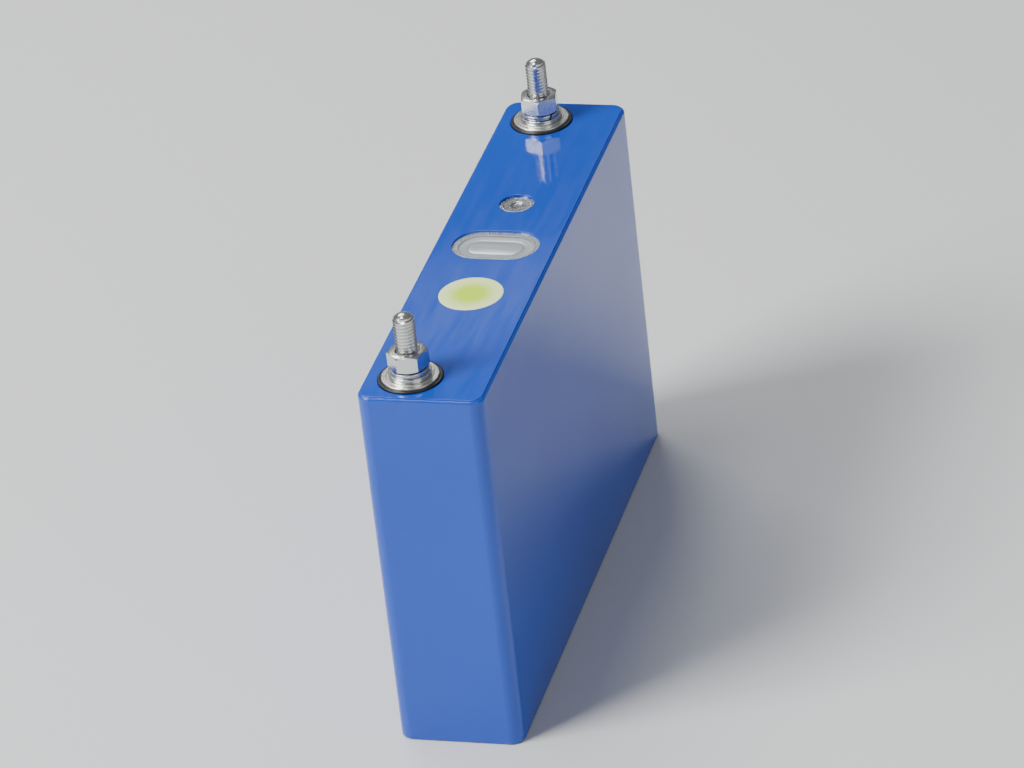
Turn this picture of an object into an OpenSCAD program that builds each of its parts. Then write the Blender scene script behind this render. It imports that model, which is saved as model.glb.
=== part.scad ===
// Prismatic battery cell with two threaded stud terminals, in millimetres.
// The origin is the centre of the base. The long side runs along Y and the lid faces +Z.

/* [Case] */
// Width of the wrapped cell, along X
cell_w = 35.5; // [33:0.5:50]
// Length of the wrapped cell, along Y
cell_l = 169; // [140:1:230]
// Height of the wrapped cell, without its studs
cell_h = 110; // [90:1:200]
// Radius of the upright edges, in plan
corner_r = 4; // [2.5:0.5:5]
// Thickness of the can's wall
can_wall = 0.8; // [0.6:0.1:1]
// Thickness of the can's floor
can_floor = 1; // [0.8:0.1:1.5]
// Thickness of the lid plate
lid_t = 2; // [1.6:0.1:3]

/* [Wrap] */
// Thickness of the insulating film round the can
film_t = 0.25; // [0.15:0.05:0.3]
// Width of the film's fold over the rim of the can
fold_w = 1.5; // [1:0.5:2]
// Thickness of the insulating sheet on the lid
sheet_t = 0.6; // [0.5:0.05:0.9]
// Diameter of the round marker sticker
dot_d = 18; // [8:1:20]
// Place of the marker sticker along Y
dot_y = -27.5; // [-38:0.5:-22]

/* [Terminals] */
// Distance from the end of the cell to the centre of a stud
terminal_inset = 11.5; // [11.5:0.5:16]
// Distance from the cell's centre line to the studs, towards -X
terminal_shift = 5; // [0:0.5:5]
// Diameter of the round terminal pad
pad_d = 16; // [13:0.5:16]
// Height of the pad above the top sheet
pad_rise = 1.2; // [0.8:0.1:2]
// Thread diameter of the studs
stud_d = 6; // [5:0.5:6]
// Height of the studs above the top sheet
stud_rise = 20; // [16:1:26]
// Distance across the flats of the nuts
nut_flats = 10; // [9:0.5:11]
// Height of the nuts
nut_h = 5; // [4:0.5:6]
// Outer diameter of the flat washers
washer_d = 12; // [11:0.5:13]
// Thickness of the flat washers
washer_t = 1.2; // [0.8:0.1:1.6]
// Thickness of the spring washers
spring_t = 1.3; // [1:0.1:1.6]

/* [Vent and fill hole] */
// Length of the vent plate, along X
vent_l = 22; // [16:1:24]
// Width of the vent plate, along Y
vent_w = 13; // [8:1:14]
// Place of the fill hole along Y
fill_y = 24; // [18:1:35]

/* [Hidden] */
$fn = 96;
// A cutting tool runs this far past the face it cuts
eps = 1;
// Gap round each plate that is dropped into the can
drop_gap = 0.05;
// Gap between parts that turn or lift against each other
seat_gap = 0.05;

// Can and lid
can_w = cell_w - 2 * film_t;
can_l = cell_l - 2 * film_t;
can_r = corner_r - film_t;
can_base = film_t;
can_top = cell_h - sheet_t;
bay_w = can_w - 2 * can_wall;
bay_l = can_l - 2 * can_wall;
bay_r = can_r - can_wall;
lid_base = can_top - lid_t;

// Top sheet, which covers the fold of the film
sheet_inset = 0.8;
fold_edge = film_t + fold_w + drop_gap;

// Inside the can
terminal_y = cell_l / 2 - terminal_inset;
insulator_t = 2;
insulator_drop = 0.6;
insulator_top = lid_base - insulator_drop;
insulator_base = insulator_top - insulator_t;
collector_t = 1.4;
collector_top = insulator_base - drop_gap;
collector_base = collector_top - collector_t;
collector_w = 24;
tray_base = can_base + can_floor + drop_gap;
tray_t = 1.2;
bag_t = 0.2;
bag_base = tray_base + tray_t + drop_gap;
bag_gap = 0.1;
bag_w = bay_w - 2 * bag_gap;
bag_l = bay_l - 2 * bag_gap;
bag_r = bay_r - bag_gap;
bag_top = insulator_base - bag_gap;
tape_t = 0.1;
roll_gap = 0.3;
roll_end_gap = 0.4;
roll_t = (bag_w - 2 * bag_t - 3 * roll_gap) / 2;
roll_l = bag_l - 2 * bag_t - 2 * roll_end_gap;
roll_x = (roll_t + roll_gap) / 2;
roll_base = bag_base + bag_t + drop_gap;
tab_rise = 4.2;
roll_top = collector_base - tab_rise;
roll_core = 0.8;
tab_t = 0.8;
tab_l = 18;
tab_shift = 24;
tab_y = terminal_y - tab_shift;

// Terminals
ring_rim = 1;
ring_r = pad_d / 2 + ring_rim;
ring_rise = 0.5;
pad_base = cell_h;
pad_top = cell_h + pad_rise;
shank_r = 4.6;
rivet_rise = 0.35;
shank_end = collector_base - rivet_rise;
bore_r = 6;
seal_flange_r = 7.4;
seal_flange_t = 0.5;
seat_depth = 4.5;
thread_r = stud_d / 2;
neck_relief = 0.2;
neck_r = thread_r - neck_relief;
running_gap = 0.02;
nut_bore_r = thread_r + running_gap;
washer_clearance = 0.2;
washer_bore_r = thread_r + washer_clearance;
washer_base = pad_top + seat_gap;
spring_base = washer_base + washer_t;
nut_base = spring_base + spring_t + seat_gap;
nut_top = nut_base + nut_h;
thread_lead = 0.2;
thread_start = nut_top + thread_lead;
stud_top = cell_h + stud_rise;
tip_h = 1.6;
tip_r = (thread_r * thread_r + tip_h * tip_h) / (2 * tip_h);
nut_turn = [12, 41];
split_turn = [205, 320];

// Vent and fill hole
vent_t = 0.3;
vent_seat = 0.6;
vent_land = 1;
vent_frame = 1.5;
fill_hole_r = 1.5;
cap_r = 4;
cap_t = 0.7;

// Shapes that several parts share

module rounded_outline(w, l, r) {
    square([w - 2 * r, l], center = true);
    square([w, l - 2 * r], center = true);
    for (sx = [-1, 1], sy = [-1, 1])
        translate([sx * (w / 2 - r), sy * (l / 2 - r)]) circle(r = r);
}

module rounded_plate(w, l, r, z0, z1) {
    translate([0, 0, z0]) linear_extrude(z1 - z0) rounded_outline(w, l, r);
}

// An oval with straight sides, its long axis along X
module oval_plate(l, w, z0, z1) {
    translate([0, 0, z0]) linear_extrude(z1 - z0) {
        square([l - w, w], center = true);
        for (side = [-1, 1]) translate([side * (l - w) / 2, 0]) circle(d = w);
    }
}

module disc(r, z0, z1) {
    translate([0, 0, z0]) cylinder(r = r, h = z1 - z0);
}

module ring(r_out, r_in, z0, z1) {
    difference() {
        disc(r_out, z0, z1);
        disc(r_in, z0 - eps, z1 + eps);
    }
}

// The positive terminal stands at the -Y end and the negative one at the +Y end
module at_terminal(end) {
    translate([-terminal_shift, end * terminal_y, 0]) children();
}

module at_both_terminals() {
    for (end = [-1, 1]) at_terminal(end) children();
}

// Case

module can() {
    color("lightgray") difference() {
        rounded_plate(can_w, can_l, can_r, can_base, can_top);
        rounded_plate(bay_w, bay_l, bay_r, can_base + can_floor, can_top + eps);
    }
}

module lid_plate() {
    color("silver") difference() {
        rounded_plate(bay_w - 2 * drop_gap, bay_l - 2 * drop_gap, bay_r - drop_gap, lid_base, can_top);
        at_both_terminals() disc(bore_r, lid_base - eps, can_top + eps);
        oval_plate(vent_l + 2 * drop_gap, vent_w + 2 * drop_gap, can_top - vent_seat, can_top + eps);
        oval_plate(vent_l - 2 * vent_land, vent_w - 2 * vent_land, lid_base - eps, can_top);
        translate([0, fill_y, 0]) {
            disc(fill_hole_r, lid_base - eps, can_top);
            disc(cap_r + drop_gap, can_top - cap_t, can_top + eps);
        }
    }
}

module sleeve() {
    color("royalblue") difference() {
        rounded_plate(cell_w, cell_l, corner_r, 0, can_top + film_t);
        rounded_plate(can_w, can_l, can_r, can_base, can_top);
        rounded_plate(can_w - 2 * fold_w, can_l - 2 * fold_w, can_r / 2, can_base, can_top + film_t + eps);
    }
}

module top_sheet() {
    sheet_w = cell_w - 2 * sheet_inset;
    sheet_l = cell_l - 2 * sheet_inset;
    foot_w = cell_w - 2 * fold_edge;
    foot_l = cell_l - 2 * fold_edge;
    color("steelblue") difference() {
        union() {
            rounded_plate(sheet_w, sheet_l, corner_r - sheet_inset, can_top + film_t, cell_h);
            rounded_plate(foot_w, foot_l, can_r / 2, can_top, cell_h);
        }
        at_both_terminals() disc(ring_r + drop_gap, can_top - eps, cell_h + eps);
        oval_plate(vent_l + 2 * vent_frame, vent_w + 2 * vent_frame, can_top - eps, cell_h + eps);
        translate([0, fill_y, 0]) disc(cap_r + ring_rim, can_top - eps, cell_h + eps);
    }
}

module marker_dot() {
    dot_t = 0.12;
    color("gold") translate([0, dot_y, 0]) disc(dot_d / 2, cell_h, cell_h + dot_t);
}

// Vent and fill hole

module vent_plate() {
    vent_base = can_top - vent_seat;
    score_inset = 3;
    score_w = 0.5;
    score_depth = 0.15;
    color("gainsboro") difference() {
        oval_plate(vent_l, vent_w, vent_base, vent_base + vent_t);
        difference() {
            oval_plate(vent_l - 2 * score_inset, vent_w - 2 * score_inset,
                vent_base + vent_t - score_depth, vent_base + vent_t + eps);
            oval_plate(vent_l - 2 * (score_inset + score_w), vent_w - 2 * (score_inset + score_w),
                vent_base, vent_base + vent_t + 2 * eps);
        }
    }
}

module vent_film() {
    film_l = vent_l + 2 * vent_frame - 2 * drop_gap;
    film_w = vent_w + 2 * vent_frame - 2 * drop_gap;
    cover_t = 0.15;
    color("lightcyan", 0.4) oval_plate(film_l, film_w, can_top, can_top + cover_t);
}

module fill_pin() {
    pin_l = 2.6;
    pin_top = can_top - cap_t - drop_gap;
    color("dimgray") translate([0, fill_y, 0]) disc(fill_hole_r - drop_gap, pin_top - pin_l, pin_top);
}

module fill_cap() {
    color("gainsboro") translate([0, fill_y, 0]) disc(cap_r, can_top - cap_t, can_top);
}

// Inside the can

module lower_insulator() {
    slot_l = 18;
    slot_w = 1.6;
    slot_pitch = 3.2;
    color("whitesmoke") difference() {
        rounded_plate(bay_w - 4 * drop_gap, bay_l - 4 * drop_gap, bay_r - 2 * drop_gap,
            insulator_base, insulator_top);
        at_both_terminals() disc(shank_r + drop_gap, insulator_base - eps, insulator_top + eps);
        for (row = [-1, 0, 1])
            translate([0, row * slot_pitch, 0])
                oval_plate(slot_l, slot_w, insulator_base - eps, insulator_top + eps);
        translate([0, fill_y, 0]) disc(fill_hole_r + 1, insulator_base - eps, insulator_top + eps);
    }
}

module inner_bag() {
    color("lightsteelblue") difference() {
        rounded_plate(bag_w, bag_l, bag_r, bag_base, bag_top);
        rounded_plate(bag_w - 2 * bag_t, bag_l - 2 * bag_t, bag_r - bag_t, bag_base + bag_t, bag_top + eps);
    }
}

module bottom_tray() {
    tray_gap = 0.3;
    well = 0.5;
    rim = 3;
    color("white") difference() {
        rounded_plate(bay_w - 2 * tray_gap, bay_l - 2 * tray_gap, bay_r - tray_gap,
            tray_base, tray_base + tray_t);
        rounded_plate(bay_w - 2 * rim, bay_l - 2 * rim, 1, tray_base + tray_t - well, tray_base + tray_t + eps);
    }
}

// A flattened winding: straight layers with half-round turns at both ends
module winding() {
    straight = roll_l - roll_t;
    translate([0, 0, roll_base]) linear_extrude(roll_top - roll_base) difference() {
        union() {
            square([roll_t, straight], center = true);
            for (end = [-1, 1]) translate([0, end * straight / 2]) circle(d = roll_t);
        }
        square([roll_core, straight], center = true);
    }
}

module left_roll() {
    color("dimgray") translate([-roll_x, 0, 0]) winding();
}

module right_roll() {
    color("dimgray") translate([roll_x, 0, 0]) winding();
}

// Three upright strips on the outer face of a winding
module closing_tapes() {
    strip_l = 12;
    strip_pitch = 45;
    strip_inset = 4;
    for (place = [-1, 0, 1])
        translate([roll_x + roll_t / 2, place * strip_pitch - strip_l / 2, roll_base + strip_inset])
            cube([tape_t, strip_l, roll_top - roll_base - 2 * strip_inset]);
}

module left_roll_tapes() {
    color("darkgoldenrod") mirror([1, 0, 0]) closing_tapes();
}

module right_roll_tapes() {
    color("darkgoldenrod") closing_tapes();
}

// Plate that joins the post to the tabs of both windings
module collector_plate() {
    plate_l = 44;
    plate_shift = 13;
    difference() {
        translate([terminal_shift, plate_shift, 0])
            rounded_plate(collector_w, plate_l, 2, collector_base, collector_top);
        disc(shank_r + drop_gap, collector_base - eps, collector_top + eps);
    }
}

module positive_collector() {
    color("silver") at_terminal(-1) collector_plate();
}

module negative_collector() {
    color("chocolate") mirror([0, 1, 0]) at_terminal(-1) collector_plate();
}

// A foil stack from each winding, bent over and welded under the collector
module tab_pair() {
    foot_l = 6;
    weld_gap = 0.1;
    tab_top = collector_base - drop_gap;
    for (side = [-1, 1])
        translate([side * roll_x, -tab_y, 0]) {
            translate([-tab_t / 2, -tab_l / 2, roll_top + weld_gap])
                cube([tab_t, tab_l, tab_top - roll_top - weld_gap]);
            translate([side > 0 ? -foot_l : 0, -tab_l / 2, tab_top - tab_t])
                cube([foot_l, tab_l, tab_t]);
        }
}

module positive_tabs() {
    color("gainsboro") tab_pair();
}

module negative_tabs() {
    color("peru") mirror([0, 1, 0]) tab_pair();
}

// Terminals

// Dished ring that holds the pad off the lid
module terminal_insulator() {
    difference() {
        disc(ring_r, can_top, cell_h + ring_rise);
        disc(pad_d / 2 + drop_gap, pad_base, cell_h + ring_rise + eps);
        disc(shank_r + drop_gap, can_top - eps, cell_h);
    }
}

module positive_insulator() {
    color("black") at_terminal(-1) terminal_insulator();
}

module negative_insulator() {
    color("black") at_terminal(1) terminal_insulator();
}

// Gasket with a flange under the lid and a sleeve in the lid's bore
module gasket() {
    ring(bore_r - drop_gap, shank_r + drop_gap, lid_base - seal_flange_t, can_top);
    ring(seal_flange_r, shank_r + drop_gap, lid_base - seal_flange_t, lid_base);
}

module positive_seal() {
    color("darkslategray") at_terminal(-1) gasket();
}

module negative_seal() {
    color("darkslategray") at_terminal(1) gasket();
}

// Round pad with a solid shank and a blind seat for the stud
module post() {
    difference() {
        union() {
            disc(pad_d / 2, pad_base, pad_top);
            disc(shank_r, shank_end, pad_base);
        }
        disc(neck_r + running_gap, pad_top - seat_depth, pad_top + eps);
    }
}

module positive_post() {
    color("gainsboro") at_terminal(-1) post();
}

module negative_post() {
    color("gainsboro") at_terminal(1) post();
}

// The stretch under the nut is a little slimmer than the free thread above it
module stud() {
    tip_start = stud_top - tip_h;
    disc(neck_r, pad_top - seat_depth + drop_gap, thread_start);
    disc(thread_r, thread_start, tip_start);
    intersection() {
        disc(thread_r, tip_start, stud_top);
        translate([0, 0, stud_top - tip_r]) sphere(r = tip_r);
    }
}

module positive_stud() {
    color("gainsboro") at_terminal(-1) stud();
}

module negative_stud() {
    color("gainsboro") at_terminal(1) stud();
}

module flat_washer() {
    ring(washer_d / 2, washer_bore_r, washer_base, washer_base + washer_t);
}

module positive_flat_washer() {
    color("silver") at_terminal(-1) flat_washer();
}

module negative_flat_washer() {
    color("silver") at_terminal(1) flat_washer();
}

// Ring of square section, cut through by a slanted split
module spring_washer(turn) {
    spring_inset = 0.5;
    spring_r = washer_d / 2 - spring_inset;
    split_w = 0.6;
    split_lean = 25;
    rotate([0, 0, turn]) difference() {
        ring(spring_r, washer_bore_r, spring_base, spring_base + spring_t);
        translate([spring_r / 2, 0, spring_base + spring_t / 2]) rotate([split_lean, 0, 0])
            cube([spring_r + eps, split_w, 3 * spring_t], center = true);
    }
}

module positive_spring_washer() {
    color("silver") at_terminal(-1) spring_washer(split_turn[0]);
}

module negative_spring_washer() {
    color("silver") at_terminal(1) spring_washer(split_turn[1]);
}

// Hexagon with chamfered corners, a true bore and a small countersink at each end
module hex_nut(turn) {
    corner = nut_flats / sqrt(3);
    face_inset = 0.1;
    chamfer_angle = 30;
    chamfer_r = nut_flats / 2 - face_inset;
    chamfer_h = (corner - chamfer_r) * tan(chamfer_angle);
    sink = 0.4;
    middle_h = nut_h - 2 * chamfer_h;
    translate([0, 0, nut_base]) rotate([0, 0, turn]) difference() {
        intersection() {
            cylinder(r = corner, h = nut_h, $fn = 6);
            union() {
                cylinder(r1 = chamfer_r, r2 = corner, h = chamfer_h);
                translate([0, 0, chamfer_h]) cylinder(r = corner, h = middle_h);
                translate([0, 0, nut_h - chamfer_h]) cylinder(r1 = corner, r2 = chamfer_r, h = chamfer_h);
            }
        }
        translate([0, 0, -eps]) cylinder(r = nut_bore_r, h = nut_h + 2 * eps);
        cylinder(r1 = nut_bore_r + sink, r2 = nut_bore_r, h = sink);
        translate([0, 0, nut_h - sink]) cylinder(r1 = nut_bore_r, r2 = nut_bore_r + sink, h = sink);
    }
}

module positive_nut() {
    color("gainsboro") at_terminal(-1) hex_nut(nut_turn[0]);
}

module negative_nut() {
    color("gainsboro") at_terminal(1) hex_nut(nut_turn[1]);
}

sleeve();
can();
lid_plate();
top_sheet();
marker_dot();
vent_plate();
vent_film();
fill_pin();
fill_cap();
lower_insulator();
inner_bag();
bottom_tray();
left_roll();
right_roll();
left_roll_tapes();
right_roll_tapes();
positive_insulator();
negative_insulator();
positive_seal();
negative_seal();
positive_post();
negative_post();
positive_stud();
negative_stud();
positive_flat_washer();
negative_flat_washer();
positive_spring_washer();
negative_spring_washer();
positive_nut();
negative_nut();
positive_collector();
negative_collector();
positive_tabs();
negative_tabs();
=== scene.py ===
"""Looks of a prismatic battery cell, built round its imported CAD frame.

The cell is a drawn aluminium can in glossy blue film. A blue sheet covers its lid, and a threaded stud
with a nut and two washers stands at each end. Lengths in the classes below are in millimetres, unless
a class says otherwise, and every place on the cell comes from the frame.
"""

import logging
import math
from abc import ABC, abstractmethod
from dataclasses import dataclass
from enum import Enum
from functools import cached_property
from typing import Any, Callable, Sequence

import bmesh
import bpy
from bmesh.types import BMesh, BMEdge, BMFace, BMVert
from bpy.types import Material, Node, NodeSocket, NodeTree
from mathutils import Matrix, Quaternion, Vector


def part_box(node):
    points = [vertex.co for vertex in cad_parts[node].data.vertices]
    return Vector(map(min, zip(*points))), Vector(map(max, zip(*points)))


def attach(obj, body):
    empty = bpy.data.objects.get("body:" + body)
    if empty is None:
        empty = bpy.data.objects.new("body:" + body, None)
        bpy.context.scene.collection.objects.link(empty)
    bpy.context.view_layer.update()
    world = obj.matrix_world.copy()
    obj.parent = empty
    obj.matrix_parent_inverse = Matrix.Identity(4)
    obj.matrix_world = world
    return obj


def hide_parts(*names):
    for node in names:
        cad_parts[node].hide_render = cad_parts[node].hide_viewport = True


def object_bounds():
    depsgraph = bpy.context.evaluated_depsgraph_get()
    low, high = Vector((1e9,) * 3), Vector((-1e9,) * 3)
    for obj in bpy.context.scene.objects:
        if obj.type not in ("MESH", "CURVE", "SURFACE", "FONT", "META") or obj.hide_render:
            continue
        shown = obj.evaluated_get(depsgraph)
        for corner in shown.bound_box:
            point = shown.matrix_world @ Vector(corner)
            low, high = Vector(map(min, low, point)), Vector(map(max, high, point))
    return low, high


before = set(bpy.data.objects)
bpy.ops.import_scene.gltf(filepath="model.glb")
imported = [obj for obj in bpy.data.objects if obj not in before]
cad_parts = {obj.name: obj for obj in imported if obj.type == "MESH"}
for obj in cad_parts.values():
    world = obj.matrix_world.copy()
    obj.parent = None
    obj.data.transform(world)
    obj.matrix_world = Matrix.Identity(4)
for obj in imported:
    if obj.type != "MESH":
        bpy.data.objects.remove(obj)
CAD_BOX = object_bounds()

MM = 0.001
UP = Vector((0.0, 0.0, 1.0))
# Points nearer to each other than this, in metres, are one point
MERGE = 0.0005 * MM
# Heights in metres are compared to this many decimal places
HEIGHT_PLACES = 6
# Steps that a section's corner is rounded in
CORNER_STEPS = 4

# A section's corner: distance from the axis, height and how far back it is rounded
Corner = tuple[float, float, float]

log = logging.getLogger("cell")


class Polarity(Enum):
    """Which terminal a piece belongs to, by the word that starts its nodes' names."""

    POSITIVE = "positive"
    NEGATIVE = "negative"


class Lay(Enum):
    """Direction that tool marks run in on worked metal."""

    TURNED = "rings round an upright axis"
    DRAWN = "upright lines"
    ROLLED = "lines along Y"
    TUMBLED = "no direction"


# Node trees and finishes


def linear(hex_code: str, alpha: float = 1.0) -> tuple[float, float, float, float]:
    """Turn an sRGB hex colour into linear light, by the standard's own curve.

    Args:
        hex_code: Colour as six hex digits.
        alpha: Opacity.

    Returns:
        Linear red, green and blue, and the opacity.
    """
    channels = [int(hex_code[i : i + 2], 16) / 255 for i in (0, 2, 4)]
    red, green, blue = [c / 12.92 if c <= 0.04045 else ((c + 0.055) / 1.055) ** 2.4 for c in channels]
    return red, green, blue, alpha


def per_metre(size: float) -> float:
    """Give the texture scale whose features are this many millimetres across."""
    return 1 / (size * MM)


def add_node(
    tree: NodeTree,
    kind: str,
    settings: dict[str | int, Any] | None = None,
    links: dict[str | int, NodeSocket] | None = None,
) -> Node:
    """Add one node to a tree, with its settings and its incoming links.

    Args:
        tree: Tree that the node joins.
        kind: Blender's name for the type of node.
        settings: Values by property name, or by an input's name or number.
        links: Sockets that feed the inputs, by the input's name or number.

    Returns:
        The new node.
    """
    node = tree.nodes.new(kind)
    for name, value in (settings or {}).items():
        if isinstance(name, str) and hasattr(node, name):
            setattr(node, name, value)
        else:
            node.inputs[name].default_value = value
    for name, source in (links or {}).items():
        tree.links.new(source, node.inputs[name])
    return node


def axis_distance(tree: NodeTree, place: NodeSocket, centre: tuple[float, float]) -> NodeSocket:
    """Build the nodes that measure how far each point lies from an upright axis.

    Args:
        tree: The material's node tree.
        place: Object coordinates.
        centre: The axis in plan.

    Returns:
        The socket with the distance, in metres.
    """
    centred = add_node(
        tree,
        "ShaderNodeMapping",
        {"Location": (-centre[0] * MM, -centre[1] * MM, 0.0), "Scale": (1.0, 1.0, 0.0)},
        {"Vector": place},
    )
    away = add_node(tree, "ShaderNodeVectorMath", {"operation": "LENGTH"}, {0: centred.outputs["Vector"]})
    return away.outputs["Value"]


@dataclass(frozen=True)
class Finish(ABC):
    """A real surface finish, made into a material the first time it is asked for."""

    name: str

    def material(self) -> Material:
        """Give the finish's material.

        Returns:
            The material, which is shared by every piece with this finish.
        """
        found = bpy.data.materials.get(self.name)
        if found:
            return found
        made = bpy.data.materials.new(self.name)
        made.use_nodes = True
        self.dress(made.node_tree, made.node_tree.nodes["Principled BSDF"])
        return made

    @abstractmethod
    def dress(self, tree: NodeTree, shader: Node) -> None:
        """Build the finish's nodes.

        Args:
            tree: The material's node tree.
            shader: Its principled shader.
        """


@dataclass(frozen=True)
class GlossFilm(Finish):
    """Pigmented polyester film, extruded glossy and drawn tight over what is under it.

    It gives a deep, even colour under a clear, sharp reflection, a faint orange peel, slow ripples
    where it was shrunk, and dull streaks where it has been wiped and handled. Real wiping marks are as
    thin as a hair, so the streaks are drawn coarser, to show.
    """

    # Two shades of blue, and the width of the clouds that they drift in
    deep: str = "0A3FAA"
    bright: str = "114FC4"
    cloud: float = 70.0
    # Width and depth of the orange peel and of the ripples
    peel: float = 1.6
    peel_depth: float = 0.004
    ripple: float = 26.0
    ripple_depth: float = 0.05
    # Streaks: their width, that as a share of their length, and where in the noise they start and end
    streak: float = 3.0
    streak_run: float = 0.12
    streak_low: float = 0.4
    streak_high: float = 0.75
    # Roughness of the clean film and of the streaks
    smooth: float = 0.07
    dull: float = 0.2
    ior: float = 1.57

    def dress(self, tree: NodeTree, shader: Node) -> None:
        """Build the film's nodes.

        Args:
            tree: The material's node tree.
            shader: Its principled shader.
        """
        place = add_node(tree, "ShaderNodeTexCoord").outputs["Object"]
        cloud = add_node(
            tree, "ShaderNodeTexNoise", {"Scale": per_metre(self.cloud), "Detail": 2.0}, {"Vector": place}
        )
        colour = add_node(
            tree,
            "ShaderNodeMix",
            {"data_type": "RGBA", 6: linear(self.deep), 7: linear(self.bright)},
            {0: cloud.outputs["Fac"]},
        )
        along = add_node(
            tree, "ShaderNodeMapping", {"Scale": (1.0, self.streak_run, self.streak_run)}, {"Vector": place}
        )
        streaks = add_node(
            tree,
            "ShaderNodeTexNoise",
            {"Scale": per_metre(self.streak), "Detail": 4.0, "Roughness": 0.6},
            {"Vector": along.outputs["Vector"]},
        )
        reach = {"From Min": self.streak_low, "From Max": self.streak_high}
        roughness = add_node(
            tree,
            "ShaderNodeMapRange",
            {**reach, "To Min": self.smooth, "To Max": self.dull},
            {"Value": streaks.outputs["Fac"]},
        )
        peel = add_node(
            tree, "ShaderNodeTexNoise", {"Scale": per_metre(self.peel), "Detail": 1.0}, {"Vector": place}
        )
        ripple = add_node(
            tree, "ShaderNodeTexNoise", {"Scale": per_metre(self.ripple), "Detail": 1.0}, {"Vector": place}
        )
        slow = add_node(
            tree,
            "ShaderNodeBump",
            {"Strength": 1.0, "Distance": self.ripple_depth * MM},
            {"Height": ripple.outputs["Fac"]},
        )
        fine = add_node(
            tree,
            "ShaderNodeBump",
            {"Strength": 1.0, "Distance": self.peel_depth * MM},
            {"Height": peel.outputs["Fac"], "Normal": slow.outputs["Normal"]},
        )
        shader.inputs["IOR"].default_value = self.ior
        tree.links.new(colour.outputs[2], shader.inputs["Base Color"])
        tree.links.new(roughness.outputs["Result"], shader.inputs["Roughness"])
        tree.links.new(fine.outputs["Normal"], shader.inputs["Normal"])


@dataclass(frozen=True)
class WorkedMetal(Finish):
    """Bare or plated metal that keeps the marks of the tool or the rolls that made it.

    It gives a bright reflection broken up by fine lines, with cloudy patches where it has been
    handled and has dulled a little. Real tool marks are under a tenth of a millimetre apart, so the
    lines are drawn coarser, to show.
    """

    # Colour where it is clean and where it has dulled
    colour: str = "C9CACA"
    dulled: str = "A9AAAA"
    # Tool marks: their direction, width and depth, and their width as a share of their length
    lay: Lay = Lay.TUMBLED
    line: float = 0.25
    line_depth: float = 0.003
    line_run: float = 0.02
    # Width of the dulled patches, and where in the noise they start and end
    cloud: float = 5.0
    dull_low: float = 0.1
    dull_high: float = 0.45
    # Roughness where it is clean and where it has dulled
    bright: float = 0.16
    dull: float = 0.34
    # The axis that turned marks run round, in plan
    centre: tuple[float, float] = (0.0, 0.0)

    def dress(self, tree: NodeTree, shader: Node) -> None:
        """Build the metal's nodes.

        Args:
            tree: The material's node tree.
            shader: Its principled shader.
        """
        place = add_node(tree, "ShaderNodeTexCoord").outputs["Object"]
        cloud = add_node(
            tree,
            "ShaderNodeTexNoise",
            {"Scale": per_metre(self.cloud), "Detail": 5.0, "Roughness": 0.6},
            {"Vector": place},
        )
        colour = add_node(
            tree,
            "ShaderNodeMix",
            {"data_type": "RGBA", 6: linear(self.colour), 7: linear(self.dulled)},
            {0: cloud.outputs["Fac"]},
        )
        lines = self._tool_marks(tree, place)
        mixed = add_node(
            tree, "ShaderNodeMath", {"operation": "MULTIPLY"}, {0: cloud.outputs["Fac"], 1: lines}
        )
        reach = {"From Min": self.dull_low, "From Max": self.dull_high}
        roughness = add_node(
            tree,
            "ShaderNodeMapRange",
            {**reach, "To Min": self.bright, "To Max": self.dull},
            {"Value": mixed.outputs["Value"]},
        )
        bump = add_node(
            tree,
            "ShaderNodeBump",
            {"Strength": 1.0, "Distance": self.line_depth * MM},
            {"Height": lines},
        )
        shader.inputs["Metallic"].default_value = 1.0
        tree.links.new(colour.outputs[2], shader.inputs["Base Color"])
        tree.links.new(roughness.outputs["Result"], shader.inputs["Roughness"])
        tree.links.new(bump.outputs["Normal"], shader.inputs["Normal"])

    def _tool_marks(self, tree: NodeTree, place: NodeSocket) -> NodeSocket:
        """Build the lines that the tool left.

        Args:
            tree: The material's node tree.
            place: Object coordinates.

        Returns:
            The socket with the marks' height, from 0 to 1.
        """
        marks = {"Scale": per_metre(self.line), "Detail": 3.0, "Roughness": 0.65}
        if self.lay is Lay.TURNED:
            radius = axis_distance(tree, place, self.centre)
            rings = add_node(tree, "ShaderNodeTexNoise", {"noise_dimensions": "1D", **marks}, {"W": radius})
            return rings.outputs["Fac"]
        stretch = {
            Lay.DRAWN: (1.0, 1.0, self.line_run),
            Lay.ROLLED: (1.0, self.line_run, 1.0),
            Lay.TUMBLED: (1.0, 1.0, 1.0),
        }
        run = add_node(tree, "ShaderNodeMapping", {"Scale": stretch[self.lay]}, {"Vector": place})
        lines = add_node(tree, "ShaderNodeTexNoise", marks, {"Vector": run.outputs["Vector"]})
        return lines.outputs["Fac"]


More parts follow.
